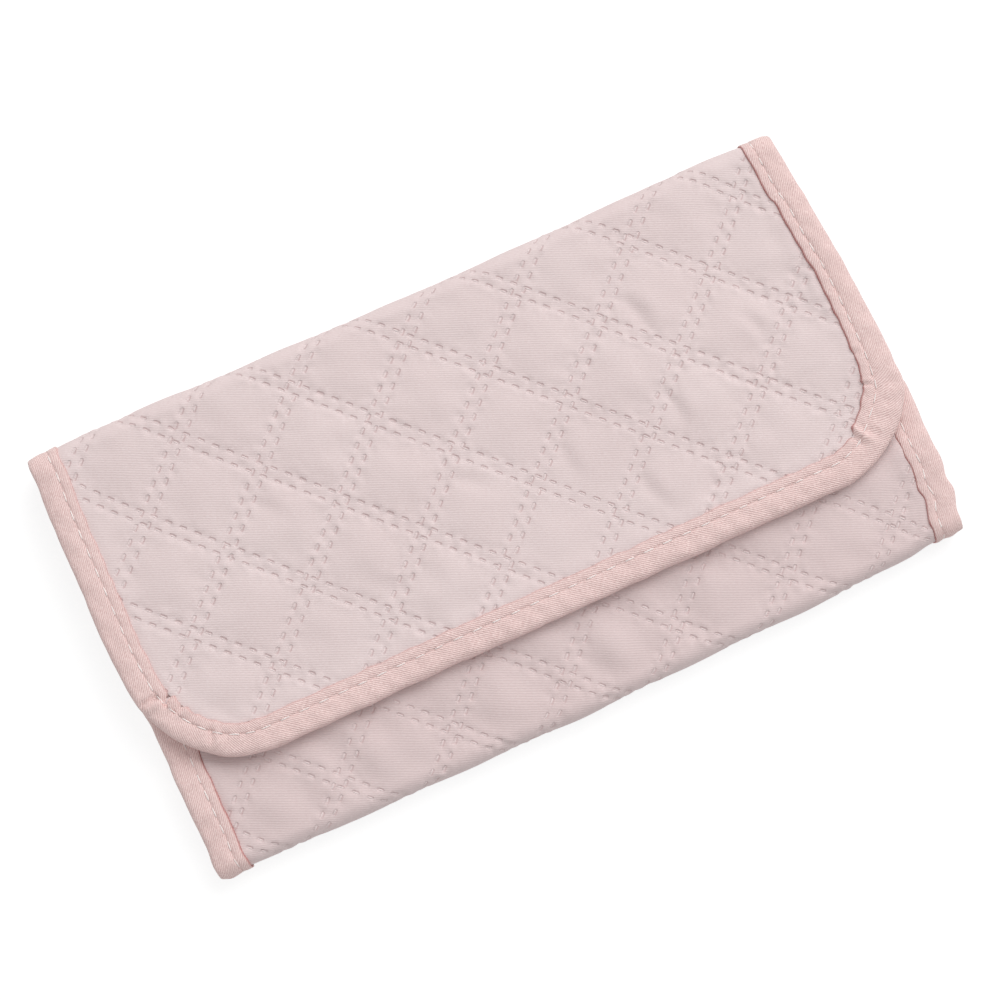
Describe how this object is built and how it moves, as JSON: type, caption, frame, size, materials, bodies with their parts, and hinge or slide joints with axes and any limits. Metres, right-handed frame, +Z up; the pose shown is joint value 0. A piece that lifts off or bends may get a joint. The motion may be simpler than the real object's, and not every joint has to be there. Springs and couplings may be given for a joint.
{
  "type": "jewelry roll",
  "caption": "Flat quilted fabric jewelry roll with bound edges; a rounded flap folds over the front panel and the folds open out flat to zip pockets and a ring bar.",
  "frame": {"origin": "on the surface that the closed roll lies on, under the middle of its outline", "axes": "+X along the folds, +Y from the bottom fold to the top fold that the flap comes from, +Z up through the closed layers"},
  "size_m": [0.24, 0.133, 0.016],
  "materials": {
    "quilt": "pale pink polyester twill, quilted over thin wadding, soft sheen",
    "binding": "rosy satin bias tape with pale topstitching",
    "lining": "blush satin lining",
    "pocket": "blush brushed pocket cloth",
    "closure": "matte hook and loop tape",
    "zip_tape": "woven zip tape",
    "zip_teeth": "moulded pink plastic",
    "metal": "polished rose gold plating"
  },
  "bodies": {
    "back": {"back_quilt": "quilt", "back_lining": "lining", "back_binding_left": "binding", "back_binding_right": "binding", "back_pocket": "pocket", "back_zip_tape_inner": "zip_tape", "back_zip_tape_outer": "zip_tape", "back_zip_teeth_inner": "zip_teeth", "back_zip_teeth_outer": "zip_teeth", "back_zip_stop_left": "metal", "back_zip_stop_right": "metal", "ring_bar": "pocket", "ring_snap_stud": "metal", "ring_snap_socket": "metal", "ring_snap_cap": "metal"},
    "top_fold": {"top_fold_quilt": "quilt", "top_fold_lining": "lining", "top_fold_binding_left": "binding", "top_fold_binding_right": "binding"},
    "flap": {"flap_quilt": "quilt", "flap_lining": "lining", "flap_binding": "binding", "closure_hook_strip": "closure", "flap_pocket": "pocket", "flap_zip_tape_inner": "zip_tape", "flap_zip_tape_outer": "zip_tape", "flap_zip_teeth_inner": "zip_teeth", "flap_zip_teeth_outer": "zip_teeth", "flap_zip_stop_left": "metal", "flap_zip_stop_right": "metal"},
    "bottom_fold": {"bottom_fold_quilt": "quilt", "bottom_fold_lining": "lining", "bottom_fold_binding_left": "binding", "bottom_fold_binding_right": "binding"},
    "front": {"front_quilt": "quilt", "front_lining": "lining", "front_binding": "binding", "front_pocket": "pocket", "closure_loop_strip": "closure"},
    "back_zip_slider": {"back_zip_slider": "metal"},
    "back_zip_pull": {"back_zip_pull": "metal"},
    "flap_zip_slider": {"flap_zip_slider": "metal"},
    "flap_zip_pull": {"flap_zip_pull": "metal"}
  },
  "joints": [
    {"name": "top_fold_hinge", "type": "hinge", "parent": "back", "child": "top_fold", "pos_m": [0, 0.0665, 0], "axis": [-1, 0, 0], "range_deg": [0, 90]},
    {"name": "flap_hinge", "type": "hinge", "parent": "top_fold", "child": "flap", "pos_m": [0, 0.0665, 0.016], "axis": [-1, 0, 0], "range_deg": [0, 90]},
    {"name": "bottom_fold_hinge", "type": "hinge", "parent": "back", "child": "bottom_fold", "pos_m": [0, -0.0665, 0], "axis": [1, 0, 0], "range_deg": [0, 90]},
    {"name": "front_hinge", "type": "hinge", "parent": "bottom_fold", "child": "front", "pos_m": [0, -0.0665, 0.0104], "axis": [1, 0, 0], "range_deg": [0, 90]},
    {"name": "back_zip_slide", "type": "slide", "parent": "back", "child": "back_zip_slider", "axis": [-1, 0, 0], "range_m": [0, 0.19]},
    {"name": "back_zip_pull_hinge", "type": "hinge", "parent": "back_zip_slider", "child": "back_zip_pull", "pos_m": [0.0964, 0.0022, 0.0071], "axis": [0, -1, 0], "range_deg": [0, 10]},
    {"name": "flap_zip_slide", "type": "slide", "parent": "flap", "child": "flap_zip_slider", "axis": [-1, 0, 0], "range_m": [0, 0.19]},
    {"name": "flap_zip_pull_hinge", "type": "hinge", "parent": "flap_zip_slider", "child": "flap_zip_pull", "pos_m": [0.0964, 0.0182, 0.0089], "axis": [0, 1, 0], "range_deg": [0, 10]}
  ],
  "couplings": [
    {"joint": "flap_hinge", "follows": "top_fold_hinge", "ratio": 1},
    {"joint": "bottom_fold_hinge", "follows": "top_fold_hinge", "ratio": 1},
    {"joint": "front_hinge", "follows": "top_fold_hinge", "ratio": 1}
  ]
}
